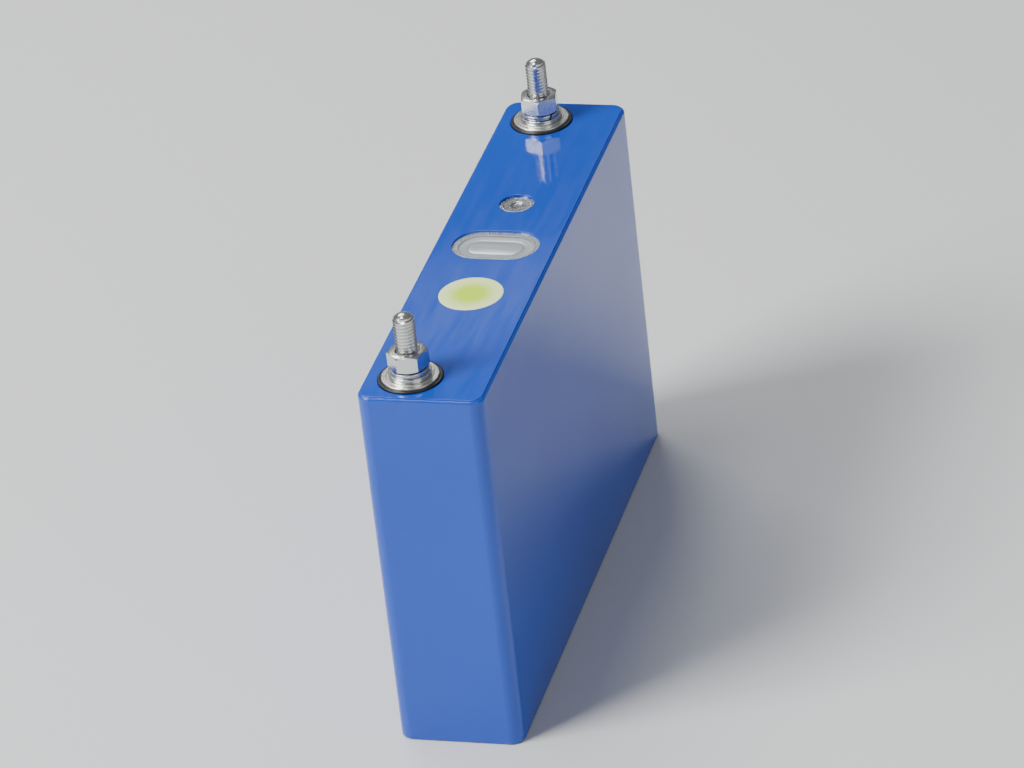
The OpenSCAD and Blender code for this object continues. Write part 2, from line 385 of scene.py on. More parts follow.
@dataclass(frozen=True)
class Moulded(Finish):
    """Plastic or rubber taken from a mould, with the mould's fine texture on it.

    It gives a soft, even sheen, a colour that clouds a little, and a fine grain, which is drawn
    coarser than a real mould's, to show.
    """

    # Two shades, and the width of the clouds that they drift in
    colour: str = "17181A"
    shade: str = "101112"
    cloud: float = 6.0
    # Width and depth of the mould's grain
    grain: float = 0.35
    grain_depth: float = 0.01
    # Roughness, and how far it strays either way
    roughness: float = 0.42
    spread: float = 0.1
    ior: float = 1.5

    def dress(self, tree: NodeTree, shader: Node) -> None:
        """Build the plastic's nodes.

        Args:
            tree: The material's node tree.
            shader: Its principled shader.
        """
        place = add_node(tree, "ShaderNodeTexCoord").outputs["Object"]
        cloud = add_node(
            tree, "ShaderNodeTexNoise", {"Scale": per_metre(self.cloud), "Detail": 3.0}, {"Vector": place}
        )
        colour = add_node(
            tree,
            "ShaderNodeMix",
            {"data_type": "RGBA", 6: linear(self.colour), 7: linear(self.shade)},
            {0: cloud.outputs["Fac"]},
        )
        roughness = add_node(
            tree,
            "ShaderNodeMapRange",
            {"To Min": self.roughness - self.spread, "To Max": self.roughness + self.spread},
            {"Value": cloud.outputs["Fac"]},
        )
        grain = add_node(
            tree, "ShaderNodeTexNoise", {"Scale": per_metre(self.grain), "Detail": 2.0}, {"Vector": place}
        )
        bump = add_node(
            tree,
            "ShaderNodeBump",
            {"Strength": 1.0, "Distance": self.grain_depth * MM},
            {"Height": grain.outputs["Fac"]},
        )
        shader.inputs["IOR"].default_value = self.ior
        tree.links.new(colour.outputs[2], shader.inputs["Base Color"])
        tree.links.new(roughness.outputs["Result"], shader.inputs["Roughness"])
        tree.links.new(bump.outputs["Normal"], shader.inputs["Normal"])


@dataclass(frozen=True)
class StickerPaper(Finish):
    """Coated paper sticker, printed with a round spot that leaves a pale rim.

    It gives a satin surface with a paper tooth, drawn coarser than the real one, to show, and a
    colour that thins out towards the rim.
    """

    # The spot and the rim, and the radii where the one starts to fade and the other is reached
    spot: str = "C8F00A"
    rim: str = "ECFFB4"
    spot_r: float = 3.0
    rim_r: float = 8.2
    # Width and depth of the paper's tooth, and the roughness at its ends
    tooth: float = 0.4
    tooth_depth: float = 0.008
    smooth: float = 0.35
    rough: float = 0.5
    # The spot's middle, in plan
    centre: tuple[float, float] = (0.0, 0.0)

    def dress(self, tree: NodeTree, shader: Node) -> None:
        """Build the sticker's nodes.

        Args:
            tree: The material's node tree.
            shader: Its principled shader.
        """
        place = add_node(tree, "ShaderNodeTexCoord").outputs["Object"]
        print_edge = add_node(
            tree,
            "ShaderNodeMapRange",
            {"interpolation_type": "SMOOTHSTEP", "From Min": self.spot_r * MM, "From Max": self.rim_r * MM},
            {"Value": axis_distance(tree, place, self.centre)},
        )
        tooth = add_node(
            tree, "ShaderNodeTexNoise", {"Scale": per_metre(self.tooth), "Detail": 3.0}, {"Vector": place}
        )
        colour = add_node(
            tree,
            "ShaderNodeMix",
            {"data_type": "RGBA", 6: linear(self.spot), 7: linear(self.rim)},
            {0: print_edge.outputs["Result"]},
        )
        roughness = add_node(
            tree,
            "ShaderNodeMapRange",
            {"To Min": self.smooth, "To Max": self.rough},
            {"Value": tooth.outputs["Fac"]},
        )
        bump = add_node(
            tree,
            "ShaderNodeBump",
            {"Strength": 1.0, "Distance": self.tooth_depth * MM},
            {"Height": tooth.outputs["Fac"]},
        )
        tree.links.new(colour.outputs[2], shader.inputs["Base Color"])
        tree.links.new(roughness.outputs["Result"], shader.inputs["Roughness"])
        tree.links.new(bump.outputs["Normal"], shader.inputs["Normal"])


@dataclass(frozen=True)
class ClearFilm(Finish):
    """Thin clear polyester film, laid on by hand and so a little uneven.

    It lets what is under it show, and adds a thin, wavering reflection of its own.
    """

    tint: str = "DCE6EC"
    opacity: float = 0.1
    # Width and depth of its unevenness
    ripple: float = 5.0
    ripple_depth: float = 0.04
    roughness: float = 0.08
    ior: float = 1.57

    def dress(self, tree: NodeTree, shader: Node) -> None:
        """Build the clear film's nodes.

        Args:
            tree: The material's node tree.
            shader: Its principled shader.
        """
        place = add_node(tree, "ShaderNodeTexCoord").outputs["Object"]
        ripple = add_node(
            tree, "ShaderNodeTexNoise", {"Scale": per_metre(self.ripple), "Detail": 2.0}, {"Vector": place}
        )
        bump = add_node(
            tree,
            "ShaderNodeBump",
            {"Strength": 1.0, "Distance": self.ripple_depth * MM},
            {"Height": ripple.outputs["Fac"]},
        )
        shader.inputs["Base Color"].default_value = linear(self.tint)
        shader.inputs["Alpha"].default_value = self.opacity
        shader.inputs["Roughness"].default_value = self.roughness
        shader.inputs["IOR"].default_value = self.ior
        tree.links.new(bump.outputs["Normal"], shader.inputs["Normal"])


# Shapes


def edges_where(bm: BMesh, test: Callable[[Vector], bool]) -> list[BMEdge]:
    """Give the edges whose two ends both pass a test on their place in millimetres."""
    return [edge for edge in bm.edges if all(test(vert.co / MM) for vert in edge.verts)]


def upright_edges(bm: BMesh) -> list[BMEdge]:
    """Give the edges whose two ends stand at different heights."""
    return [edge for edge in bm.edges if abs(edge.verts[0].co.z - edge.verts[1].co.z) > MERGE]


def close_holes(bm: BMesh) -> list[BMFace]:
    """Close every open end of a mesh, and give the new faces."""
    return bmesh.ops.holes_fill(bm, edges=[e for e in bm.edges if e.is_boundary], sides=0)["faces"]


def thicken(bm: BMesh, faces: Sequence[BMFace], rise: float) -> None:
    """Make a plate of flat faces, by raising a copy of them with walls in between.

    Args:
        bm: Mesh that they belong to.
        faces: The faces.
        rise: How far the copy is raised, or sunk where this is below zero.
    """
    grown = bmesh.ops.extrude_face_region(bm, geom=faces, use_keep_orig=True)["geom"]
    moved = [item for item in grown if isinstance(item, BMVert)]
    bmesh.ops.translate(bm, verts=moved, vec=UP * rise * MM)


def rounded(bm: BMesh, edges: list[BMEdge], radius: float, steps: int) -> None:
    """Round off edges.

    Args:
        bm: Mesh that they belong to.
        edges: The edges.
        radius: Radius of the rounding.
        steps: How many steps it has.
    """
    bmesh.ops.bevel(
        bm, geom=edges, offset=radius * MM, segments=steps, profile=0.5, affect="EDGES", material=-1
    )


def block(bm: BMesh, low: Vector, high: Vector, corner_r: float = 0.0, steps: int = 10) -> None:
    """Add a block, with its upright edges rounded.

    Args:
        bm: Mesh that it joins, which must be empty.
        low: Its lowest corner.
        high: Its highest corner.
        corner_r: Radius of its upright edges.
        steps: How many steps the rounding has.
    """
    place = Matrix.Translation((low + high) / 2 * MM) @ Matrix.Diagonal((*((high - low) * MM), 1))
    bmesh.ops.create_cube(bm, size=1.0, matrix=place)
    if corner_r:
        rounded(bm, upright_edges(bm), corner_r, steps)


def oval(bm: BMesh, low: Vector, high: Vector, grow: float, z: float, points: int = 96) -> list[BMVert]:
    """Add an oval outline with straight sides, its long axis along X.

    Args:
        bm: Mesh that it joins.
        low: Lowest corner of the box that it fits.
        high: Highest corner of that box.
        grow: How far outside the box it runs.
        z: Its height.
        points: How many points it has.

    Returns:
        The outline's vertices.
    """
    hub = Vector(((low.x + high.x) / 2, (low.y + high.y) / 2, z)) * MM
    radius = (high.y - low.y) / 2 + grow
    reach = (high.x - low.x) / 2 + grow - radius
    half_step = Matrix.Rotation(math.pi / points, 4, "Z")
    outline = bmesh.ops.create_circle(
        bm, segments=points, radius=radius * MM, matrix=Matrix.Translation(hub) @ half_step
    )["verts"]
    for vert in outline:
        vert.co.x += math.copysign(reach * MM, vert.co.x - hub.x)
    return outline


def outline_edges(verts: Sequence[BMVert]) -> list[BMEdge]:
    """Give the edges that run between the vertices of one outline."""
    chosen = set(verts)
    return list({edge for vert in verts for edge in vert.link_edges if chosen.issuperset(edge.verts)})


def turned(
    bm: BMesh,
    corners: Sequence[Corner],
    hub: Vector,
    turn: float = 2 * math.pi,
    rise: float = 0.0,
    steps: int = 96,
) -> None:
    """Spin a closed section round an upright axis, as on a lathe.

    Args:
        bm: Mesh that the shape joins, which must be empty.
        corners: The section's corners: distance from the axis, height and how far back each is rounded.
        hub: The axis in plan.
        turn: Angle of the spin, in radians.
        rise: How far the section climbs over the spin.
        steps: How many steps the spin has.
    """
    axis = Vector((hub.x, hub.y, 0)) * MM
    outline = [bm.verts.new(axis + Vector((r, 0, z)) * MM) for r, z, _ in corners]
    bm.faces.new(outline)
    for vert, (_, _, radius) in zip(outline, corners):
        if radius:
            bmesh.ops.bevel(
                bm,
                geom=[vert],
                offset=radius * MM,
                segments=CORNER_STEPS,
                profile=0.5,
                affect="VERTICES",
                material=-1,
            )
    bmesh.ops.delete(bm, geom=bm.faces[:], context="FACES_ONLY")
    on_axis = [e for e in bm.edges if all((vert.co - axis).xy.length < MERGE for vert in e.verts)]
    bmesh.ops.delete(bm, geom=on_axis, context="EDGES")
    bmesh.ops.spin(
        bm,
        geom=bm.verts[:] + bm.edges[:],
        cent=axis,
        axis=UP,
        dvec=UP * rise * MM / steps,
        angle=turn,
        steps=steps,
        use_merge=math.isclose(turn, 2 * math.pi),
    )
    bmesh.ops.remove_doubles(bm, verts=bm.verts, dist=MERGE)


def cut(bm: BMesh, place: Vector, facing: Vector, keep_below: bool = False) -> None:
    """Cut a mesh with a plane.

    Args:
        bm: The mesh.
        place: A point on the plane.
        facing: The plane's normal.
        keep_below: Whether what lies past the plane is removed.
    """
    bmesh.ops.bisect_plane(
        bm,
        geom=bm.verts[:] + bm.edges[:] + bm.faces[:],
        dist=MERGE,
        plane_co=place * MM,
        plane_no=facing,
        clear_outer=keep_below,
    )


def end_face(bm: BMesh, side: int) -> BMFace:
    """Give the face that lies highest, for a side of 1, or lowest, for a side of -1."""
    return max(
        bm.faces,
        key=lambda face: (round(side * face.calc_center_median().z, HEIGHT_PLACES), face.calc_area()),
    )


def inset(bm: BMesh, face: BMFace, steps: Sequence[tuple[float, float]]) -> None:
    """Inset a face again and again.

    Args:
        bm: Mesh that it belongs to.
        face: The face, which ends up as the innermost one.
        steps: How far each step goes in, and how far it rises along the face's normal.
    """
    for inward, rise in steps:
        bmesh.ops.inset_region(
            bm, faces=[face], thickness=inward * MM, depth=rise * MM, use_even_offset=True
        )


def make_piece(
    name: str,
    bm: BMesh,
    finish: Finish,
    body: str = "cell",
    replaces: Sequence[str] = (),
    sharp: float = 32.0,
) -> None:
    """Turn a mesh into a piece that rides on a body and stands for its CAD nodes.

    Args:
        name: Name of the piece.
        bm: Its mesh, which is used up.
        finish: What its surface is.
        body: The body that it moves with.
        replaces: CAD nodes that it stands for.
        sharp: Angle in degrees above which an edge stays sharp.
    """
    bmesh.ops.remove_doubles(bm, verts=bm.verts, dist=MERGE)
    bmesh.ops.recalc_face_normals(bm, faces=bm.faces)
    mesh = bpy.data.meshes.new(name)
    bm.to_mesh(mesh)
    bm.free()
    mesh.polygons.foreach_set("use_smooth", [True] * len(mesh.polygons))
    mesh.set_sharp_from_angle(angle=math.radians(sharp))
    mesh.materials.append(finish.material())
    piece = bpy.data.objects.new(name, mesh)
    bpy.context.scene.collection.objects.link(piece)
    evened = piece.modifiers.new("even_normals", "WEIGHTED_NORMAL")
    evened.keep_sharp = True
    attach(piece, body)
    if replaces:
        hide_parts(*replaces)
    log.info("%s: %d faces, on %s", name, len(mesh.polygons), body)


def node_box(node: str) -> tuple[Vector, Vector]:
    """Give a CAD node's lowest and highest corner, in millimetres."""
    low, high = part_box(node)
    return low / MM, high / MM


# Sub-assemblies


@dataclass
class Wrap:
    """The blue film round the can, the sheet on its lid and the round marker on the sheet."""

    # The sleeve, with its fold over the rim of the can
    corner_r: float = 4.0
    rim_r: float = 0.7
    foot_r: float = 0.55
    round_steps: int = 4
    fold_w: float = 1.7
    film_t: float = 0.2
    # How far the broad sides are drawn in, and the rows and columns that the curve takes
    dish: float = 0.14
    dish_rows: int = 16
    dish_columns: int = 24
    # The flaps folded over the base, and the lap up the back
    flap_rise: float = 0.12
    flap_l: float = 15.0
    flap_gap: float = 0.35
    lap_w: float = 9.0
    lap_t: float = 0.1
    # The lid sheet, its cut-outs and the marker on it
    sheet_r: float = 3.2
    sheet_edge: float = 0.14
    sheet_gap: float = 0.05
    cap_gap: float = 1.0
    edge_steps: int = 2
    dot_press: float = 0.5
    # Faces that face up or down at least this squarely are level
    level_cos: float = 0.99999
    # Shrunk round the can, so its gloss ripples
    film: GlossFilm = GlossFilm("blue_polyester_film")
    # Die-cut and laid flat, so its gloss is calmer and mirrors the studs
    sheet: GlossFilm = GlossFilm(
        "blue_polyester_lid_sheet", ripple=60.0, ripple_depth=0.02, peel_depth=0.002, smooth=0.05, dull=0.15
    )

    def build(self) -> None:
        """Build every piece of the wrap."""
        self._sleeve()
        self._lap()
        self._top_sheet()
        self._marker()

    def _sleeve(self) -> None:
        """Build the film sleeve: its fold on the rim, its folded base and its dished broad sides."""
        low, high = node_box("sleeve")
        high.y -= self.lap_t
        low.z += self.flap_rise
        bm = bmesh.new()
        block(bm, low, high, self.corner_r)
        rim = edges_where(bm, lambda place: place.z > high.z - MERGE / MM)
        rounded(bm, rim, self.rim_r, self.round_steps)
        foot = edges_where(bm, lambda place: place.z < low.z + MERGE / MM)
        rounded(bm, foot, self.foot_r, self.round_steps)
        self._fold_base(bm, low, high)
        lid = end_face(bm, 1)
        inset(bm, lid, [(self.fold_w - self.rim_r, 0.0)])
        bmesh.ops.delete(bm, geom=[lid], context="FACES")
        for row in range(1, self.dish_rows):
            cut(bm, low.lerp(high, row / self.dish_rows), UP)
        for column in range(1, self.dish_columns):
            cut(bm, low.lerp(high, column / self.dish_columns), Vector((0, 1, 0)))
        bmesh.ops.recalc_face_normals(bm, faces=bm.faces)
        bmesh.ops.solidify(bm, geom=bm.faces[:], thickness=self.film_t * MM)
        for vert in bm.verts:
            self._dish(vert, low, high)
        make_piece("sleeve_film", bm, self.film, replaces=["sleeve"])

    def _fold_base(self, bm: BMesh, low: Vector, high: Vector) -> None:
        """Part the base into the flaps that the film is folded into, with a crease between them.

        Args:
            bm: The sleeve's mesh.
            low: Its lowest corner.
            high: Its highest corner.
        """
        ends = [Vector((0, end - math.copysign(self.flap_l, end), 0)) for end in (low.y, high.y)]
        along, across = Vector((0, 1, 0)), Vector((1, 0, 0))
        for place, facing in ((ends[0], along), (ends[1], along), (Vector(), across)):
            flaps = [face for face in bm.faces if face.calc_center_median().z < low.z * MM + MERGE]
            flaps = sorted(flaps, key=lambda face: -face.calc_area())[:1]
            parts = {item for face in flaps for item in (face, *face.edges, *face.verts)}
            bmesh.ops.bisect_plane(
                bm, geom=list(parts), dist=MERGE, plane_co=place * MM, plane_no=facing
            )
        flaps = [face for face in bm.faces if face.calc_center_median().z < low.z * MM + MERGE]
        bmesh.ops.inset_individual(
            bm, faces=flaps, thickness=self.flap_gap * MM, depth=self.flap_rise * MM, use_even_offset=True
        )

    def _dish(self, vert: BMVert, low: Vector, high: Vector) -> None:
        """Pull a vertex of a broad side in, most at the middle of the side.

        Args:
            vert: The vertex.
            low: The sleeve's lowest corner.
            high: The sleeve's highest corner.
        """
        place = vert.co / MM
        if abs(place.x) < high.x - 2 * self.film_t:
            return
        along = max(math.cos(math.pi / 2 * place.y / high.y), 0.0)
        upward = max(math.sin(math.pi * (place.z - low.z) / (high.z - low.z)), 0.0)
        vert.co.x -= math.copysign(self.dish * along * upward * MM, place.x)

    def _lap(self) -> None:
        """Build the strip where the film's two ends overlap, up the middle of the back."""
        low, high = node_box("sleeve")
        low = Vector((-self.lap_w / 2, high.y - self.lap_t, low.z + self.flap_rise + self.foot_r))
        high = Vector((self.lap_w / 2, high.y, high.z - self.rim_r))
        bm = bmesh.new()
        block(bm, low, high)
        outer = edges_where(bm, lambda place: place.y > high.y - MERGE / MM)
        rounded(bm, outer, self.lap_t / 2, self.edge_steps)
        make_piece("sleeve_lap", bm, self.film)

    def _top_sheet(self) -> None:
        """Build the sheet on the lid, cut out round the terminals, the vent and the fill cap."""
        low, high = node_box("top_sheet")
        bm = bmesh.new()
        block(bm, low, high, self.sheet_r)
        bmesh.ops.delete(bm, geom=bm.faces[:], context="FACES_ONLY")
        lower = edges_where(bm, lambda place: place.z < high.z - MERGE / MM)
        bmesh.ops.delete(bm, geom=lower, context="EDGES")
        bmesh.ops.delete(bm, geom=[v for v in bm.verts if v.co.z < high.z * MM - MERGE], context="VERTS")
        gaps = {"positive_insulator": self.sheet_gap, "negative_insulator": self.sheet_gap}
        gaps |= {"vent_film": self.sheet_gap, "fill_cap": self.cap_gap}
        for node, gap in gaps.items():
            oval(bm, *node_box(node), grow=gap, z=high.z)
        bmesh.ops.triangle_fill(bm, edges=bm.edges[:], use_beauty=True, normal=UP)
        thicken(bm, bm.faces[:], low.z - high.z)
        top = high.z * MM - MERGE
        rim = [e for e in bm.edges if all(v.co.z > top for v in e.verts)]
        rim = [e for e in rim if any(face.calc_center_median().z < top for face in e.link_faces)]
        rounded(bm, rim, self.sheet_edge, self.edge_steps)
        self._join_level(bm)
        make_piece("lid_sheet", bm, self.sheet, replaces=["top_sheet"])

    def _join_level(self, bm: BMesh) -> None:
        """Join the level triangles of the sheet into large faces, so that its gloss runs on unbroken.

        Args:
            bm: The sheet's mesh.
        """
        bmesh.ops.recalc_face_normals(bm, faces=bm.faces)
        level = [e for e in bm.edges if all(abs(face.normal.z) > self.level_cos for face in e.link_faces)]
        bmesh.ops.dissolve_limit(bm, angle_limit=math.acos(self.level_cos), verts=[], edges=level)

    def _marker(self) -> None:
        """Build the round paper sticker, its edge pressed down a little."""
        low, high = node_box("marker_dot")
        hub = (low + high) / 2
        radius = high.x - hub.x
        section = [
            (0.0, low.z, 0.0),
            (radius, low.z, 0.0),
            (radius, hub.z, 0.0),
            (radius - self.dot_press, high.z, self.dot_press / 2),
            (0.0, high.z, 0.0),
        ]
        bm = bmesh.new()
        turned(bm, section, hub)
        # Its spot is a strong yellow green that fades into a nearly white rim
        paper = StickerPaper("coated_sticker_paper", centre=(hub.x, hub.y))
        make_piece("marker_sticker", bm, paper, replaces=["marker_dot"])


@dataclass
class Welds:
    """Laser welds on the lid, as rows of overlapping scales."""

    # One scale: its top as a share of its foot, its lean over the one before, in radians, and the
    # angle in degrees above which its edges stay sharp
    scale_r: float = 0.42
    scale_h: float = 0.14
    scale_top: float = 0.6
    scale_sides: int = 12
    lean: float = 0.12
    sharp: float = 50.0
    # The row of scales, where two may be as near as this share of the pitch
    pitch: float = 0.32
    nearest: float = 0.8
    sunk: float = 0.02
    # Melted and frozen in ripples, so it is greyer and duller than the plate
    finish: WorkedMetal = WorkedMetal(
        "laser_welded_aluminium", colour="C2C4C6", dulled="8E9093", line=0.2, bright=0.22, dull=0.45
    )

    def round_node(self, name: str, node: str) -> None:
        """Lay a weld along the edge of a round or oval plate.

        Args:
            name: Name of the piece.
            node: CAD node of the plate.
        """
        low, high = node_box(node)
        top = node_box("lid_plate")[1].z - self.sunk
        bm = bmesh.new()
        guide = oval(bm, low, high, grow=0.0, z=top)
        straight = [e for e in outline_edges(guide) if e.calc_length() > 2 * self.pitch * MM]
        if straight:
            cuts = round(straight[0].calc_length() / (self.pitch * MM)) - 1
            bmesh.ops.subdivide_edges(bm, edges=straight, cuts=cuts)
        path = self._walk(bm)
        bmesh.ops.delete(bm, geom=bm.verts[:], context="VERTS")
        self._lay_scales(bm, path)
        make_piece(name, bm, self.finish, sharp=self.sharp)

    def _lay_scales(self, bm: BMesh, path: list[Vector]) -> None:
        """Lay the overlapping scales of a weld along a closed path.

        Args:
            bm: Mesh that they join.
            path: The places of the scales, in metres.
        """
        for here, following in zip(path, path[1:] + path[:1]):
            along = (following - here).normalized()
            across = UP.cross(along)
            place = Matrix.Translation(here) @ Matrix.Rotation(self.lean, 4, across)
            bmesh.ops.create_cone(
                bm,
                cap_ends=True,
                segments=self.scale_sides,
                radius1=self.scale_r * MM,
                radius2=self.scale_r * self.scale_top * MM,
                depth=self.scale_h * MM,
                matrix=place,
            )

    def _walk(self, bm: BMesh) -> list[Vector]:
        """Give the places along a closed wire, at about one pitch from each other.

        Args:
            bm: Mesh that holds only the wire.

        Returns:
            The places in order, in metres.
        """
        bm.verts.ensure_lookup_table()
        here, before = bm.verts[0], None
        path = []
        while not path or here is not bm.verts[0]:
            if not path or (here.co - path[-1]).length > self.pitch * self.nearest * MM:
                path.append(here.co.copy())
            onward = [e.other_vert(here) for e in here.link_edges if e.other_vert(here) is not before]
            here, before = onward[0], here
        return path


@dataclass
class Vent:
    """The scored burst plate in the lid and the clear film over it."""

    # The score line, then the crown inside it
    score_inset: float = 2.6
    score_half_w: float = 0.28
    score_depth: float = 0.14
    step_w: float = 0.5
    crown_w: float = 1.3
    crown_rise: float = 0.16
    # The clear film, which climbs from the lid over the weld
    cover_slope: float = 0.6
    cover_rise: float = 0.03
    cover_t: float = 0.05
    # Softened by heat, so it is pale and satin, with faint lines from the rolls
    plate: WorkedMetal = WorkedMetal(
        "annealed_aluminium_plate",
        colour="D6D8DA",
        dulled="BFC1C4",
        lay=Lay.ROLLED,
        line=0.3,
        bright=0.26,
        dull=0.4,
    )
    # Clear and thin, so it is nearly unseen apart from a faint reflection
    cover: ClearFilm = ClearFilm("clear_polyester_film")

    def build(self) -> None:
        """Build every piece of the vent."""
        self._plate()
        self._cover()

    def _plate(self) -> None:
        """Build the plate, with a score line round its middle and a low crown inside it."""
        low, high = node_box("vent_plate")
        bm = bmesh.new()
        base = bmesh.ops.edgeloop_fill(bm, edges=outline_edges(oval(bm, low, high, 0.0, low.z)))["faces"]
        thicken(bm, base, high.z - low.z)
        bmesh.ops.recalc_face_normals(bm, faces=bm.faces)
        score = [(self.score_half_w, -self.score_depth), (self.score_half_w, self.score_depth)]
        crown = [(self.step_w, 0.0), (self.crown_w, self.crown_rise)]
        inset(bm, end_face(bm, 1), [(self.score_inset, 0.0), *score, *crown])
        make_piece("burst_plate", bm, self.plate, replaces=["vent_plate"])

    def _cover(self) -> None:
        """Build the clear film, which lies on the lid at its edge and stands clear of the weld."""
        low, high = node_box("vent_film")
        bm = bmesh.new()
        outline = oval(bm, low, high, 0.0, low.z + self.cover_rise)
        bmesh.ops.edgeloop_fill(bm, edges=outline_edges(outline))
        bmesh.ops.recalc_face_normals(bm, faces=bm.faces)
        face = bm.faces[:][0]
        if face.normal.z < 0:
            face.normal_flip()
        span = high.z - low.z - self.cover_rise - self.cover_t
        inset(bm, face, [(self.cover_slope, span), (self.cover_slope, 0.0)])
        thicken(bm, bm.faces[:], self.cover_t)
        make_piece("vent_cover_film", bm, self.cover, replaces=["vent_film"])


@dataclass
class FillPlug:
    """The aluminium cap over the fill hole."""

    edge: float = 0.08
    dimple_r: float = 1.9
    dimple_floor_r: float = 1.3
    dimple_depth: float = 0.3
    round_steps: int = 64
    # Pressed from sheet, so it is bright with a soft mottle and no lines
    cap: WorkedMetal = WorkedMetal("pressed_aluminium_cap", colour="D2D4D6", dulled="B8BABD", line=0.4)

    def build(self) -> None:
        """Build the cap."""
        low, high = node_box("fill_cap")
        hub = (low + high) / 2
        radius = high.x - hub.x
        floor = high.z - self.dimple_depth
        section = [
            (0.0, low.z, 0.0),
            (radius, low.z, 0.0),
            (radius, high.z, self.edge),
            (self.dimple_r, high.z, 2 * self.edge),
            (self.dimple_floor_r, floor, 2 * self.edge),
            (0.0, floor, 0.0),
        ]
        bm = bmesh.new()
        turned(bm, section, hub, steps=self.round_steps)
        make_piece("fill_cap_disc", bm, self.cap, replaces=["fill_cap"])


@dataclass
class Terminal:
    """One terminal: insulator, post, threaded stud, two washers and a nut."""

    polarity: Polarity
    # How far the nut and the spring washer's split stand turned, in degrees
    nut_turn: float
    split_turn: float
    # The post's shank
    shank_r: float = 4.6
    shank_edge: float = 0.3
    # The stud's coarse M6 thread, with its flats as shares of the pitch, and its tip. Its winding starts
    # a few turns below the stud's foot, where it is cut off square
    pitch: float = 1.0
    root_depth: float = 0.61
    root_flat: float = 0.25
    crest_flat: float = 0.125
    turn_steps: int = 60
    run_in_turns: int = 2
    tip_h: float = 1.6
    tip_flat: float = 0.1
    # The nut: its corners lie along X at no turn, its ends are chamfered down to a round land, and its
    # bore is countersunk, with a little play that the post's seat has too
    flats: float = 10.0
    first_corner: float = 90.0
    corner_edge: float = 0.14
    corner_steps: int = 2
    land_r: float = 4.75
    chamfer_steps: int = 72
    chamfer_angle: float = 30.0
    nut_sink: float = 0.42
    running_gap: float = 0.02
    # The insulator and the pad in it, whose face has one low step
    ring_edge: float = 0.25
    pad_gap: float = 0.05
    pad_edge: float = 0.3
    pad_step: float = 0.15
    step_r: float = 6.6
    step_edge: float = 0.05
    fine_edge: float = 0.075
    # Both washers' play, and the flat one's edges: bore and rim below, rim and bore above
    bore_gap: float = 0.2
    washer_edges: tuple[float, float, float, float] = (0.08, 0.1, 0.28, 0.15)
    # The spring washer: its split's width and lean, in degrees, and how far its end is lifted
    spring_edge: float = 0.2
    split_deg: float = 7.0
    split_lean: float = 25.0
    spring_lift: float = 0.12
    spring_steps: int = 90
    # A satin black ring under the bright pad: a real insulator, made near black partly as painted shade for
    # the dark shade that falls under the pad
    insulator: Moulded = Moulded("black_polyamide_and_painted_shade")
    # Cold-formed, then tumbled bright, so it mirrors what is round it with a fine mottle
    steel: WorkedMetal = WorkedMetal(
        "bright_stainless_steel", colour="E3E4E3", dulled="CDCECD", bright=0.12
    )
    # Plated over a rougher strip, so it is a little bluer and duller
    spring: WorkedMetal = WorkedMetal(
        "zinc_plated_spring_steel", colour="D9DBDD", dulled="BFC2C5", bright=0.2, dull=0.38
    )

    def build(self) -> None:
        """Build every piece of the terminal."""
        self._insulator()
        self._post()
        self._stud()
        self._flat_washer()
        self._spring_washer()
        self._nut()

    @cached_property
    def hub(self) -> Vector:
        """The stud's axis in plan."""
        low, high = self._box("stud")
        return (low + high) / 2

    @cached_property
    def axis(self) -> Vector:
        """The point where the stud's axis meets the plane of the base, in metres."""
        return Vector((self.hub.x, self.hub.y, 0)) * MM

    @cached_property
    def thread_r(self) -> float:
        """The stud's outer radius."""
        low, high = self._box("stud")
        return (high.x - low.x) / 2

    @cached_property
    def pad_base(self) -> float:
        """The height of the pad's underside, which is level with the top sheet."""
        return node_box("top_sheet")[1].z

    def _box(self, part: str) -> tuple[Vector, Vector]:
        """Give the box of one of this terminal's nodes.

        Args:
            part: The node's name without the polarity.

        Returns:
            Its lowest and highest corner, in millimetres.
        """
        return node_box(f"{self.polarity.value}_{part}")

    def _make(self, part: str, bm: BMesh, finish: Finish, body: str = "cell") -> None:
        """Make a mesh the piece that stands for one of this terminal's nodes.

        Args:
            part: The node's name without the polarity.
            bm: The mesh.
            finish: What its surface is.
            body: The body that it moves with.
        """
        node = f"{self.polarity.value}_{part}"
        make_piece(f"{node}_piece", bm, finish, body=body, replaces=[node])

    def _insulator(self) -> None:
        """Build the dished ring that holds the pad off the lid."""
        low, high = self._box("insulator")
        radius = (high.x - low.x) / 2
        pad_low, pad_high = self._box("post")
        well_r = (pad_high.x - pad_low.x) / 2 + self.pad_gap
        bore_r = self.shank_r + self.pad_gap
        section = [
            (bore_r, low.z, 0.0),
            (radius, low.z, 0.0),
            (radius, high.z, self.ring_edge),
            (well_r, high.z, self.ring_edge / 2),
            (well_r, self.pad_base, 0.0),
            (bore_r, self.pad_base, 0.0),
        ]
        bm = bmesh.new()
        turned(bm, section, self.hub)
        self._make("insulator", bm, self.insulator)

    def _post(self) -> None:
        """Build the pad, with a stepped face and a soft edge, and the shank below it."""
        low, high = self._box("post")
        pad_r = (high.x - low.x) / 2
        seat_r = self.thread_r + self.running_gap
        seat_floor = self._box("stud")[0].z - self.pad_gap
        step_z = high.z - self.pad_step
        section = [
            (0.0, low.z, 0.0),
            (self.shank_r, low.z, self.shank_edge),
            (self.shank_r, self.pad_base, 0.0),
            (pad_r, self.pad_base, self.fine_edge),
            (pad_r, step_z, self.pad_edge),
            (self.step_r, step_z, self.step_edge),
            (self.step_r - self.pad_step, high.z, self.step_edge),
            (seat_r, high.z, self.fine_edge),
            (seat_r, seat_floor, 0.0),
            (0.0, seat_floor, 0.0),
        ]
        bm = bmesh.new()
        turned(bm, section, self.hub)
